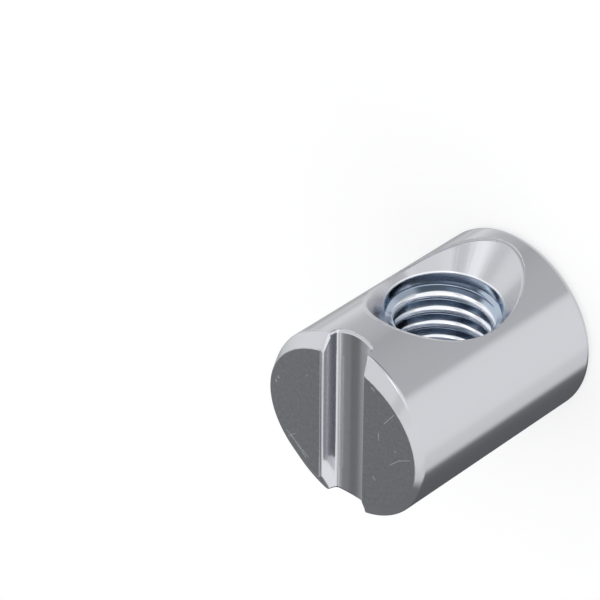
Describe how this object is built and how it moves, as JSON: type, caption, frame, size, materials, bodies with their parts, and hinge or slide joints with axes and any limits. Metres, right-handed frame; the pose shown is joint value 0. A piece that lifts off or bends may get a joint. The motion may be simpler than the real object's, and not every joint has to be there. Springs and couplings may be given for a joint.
{
  "type": "cross dowel nut",
  "caption": "Round steel barrel nut with a countersunk threaded cross hole and a driver slot in one end, for bolted wooden joints.",
  "frame": {"origin": "centre of the plain end, where the barrel's axis meets the face that it stands on", "axes": "+Z along the barrel's axis towards the slotted end, -Y along the threaded cross hole out of its countersunk mouth, X across the driver slot"},
  "size_m": [0.014, 0.014, 0.018],
  "materials": {
    "zinc_plated_steel": "smooth zinc-plated steel, lightly scratched"
  },
  "bodies": {
    "root": {"cross_dowel_nut": "zinc_plated_steel"}
  },
  "joints": []
}
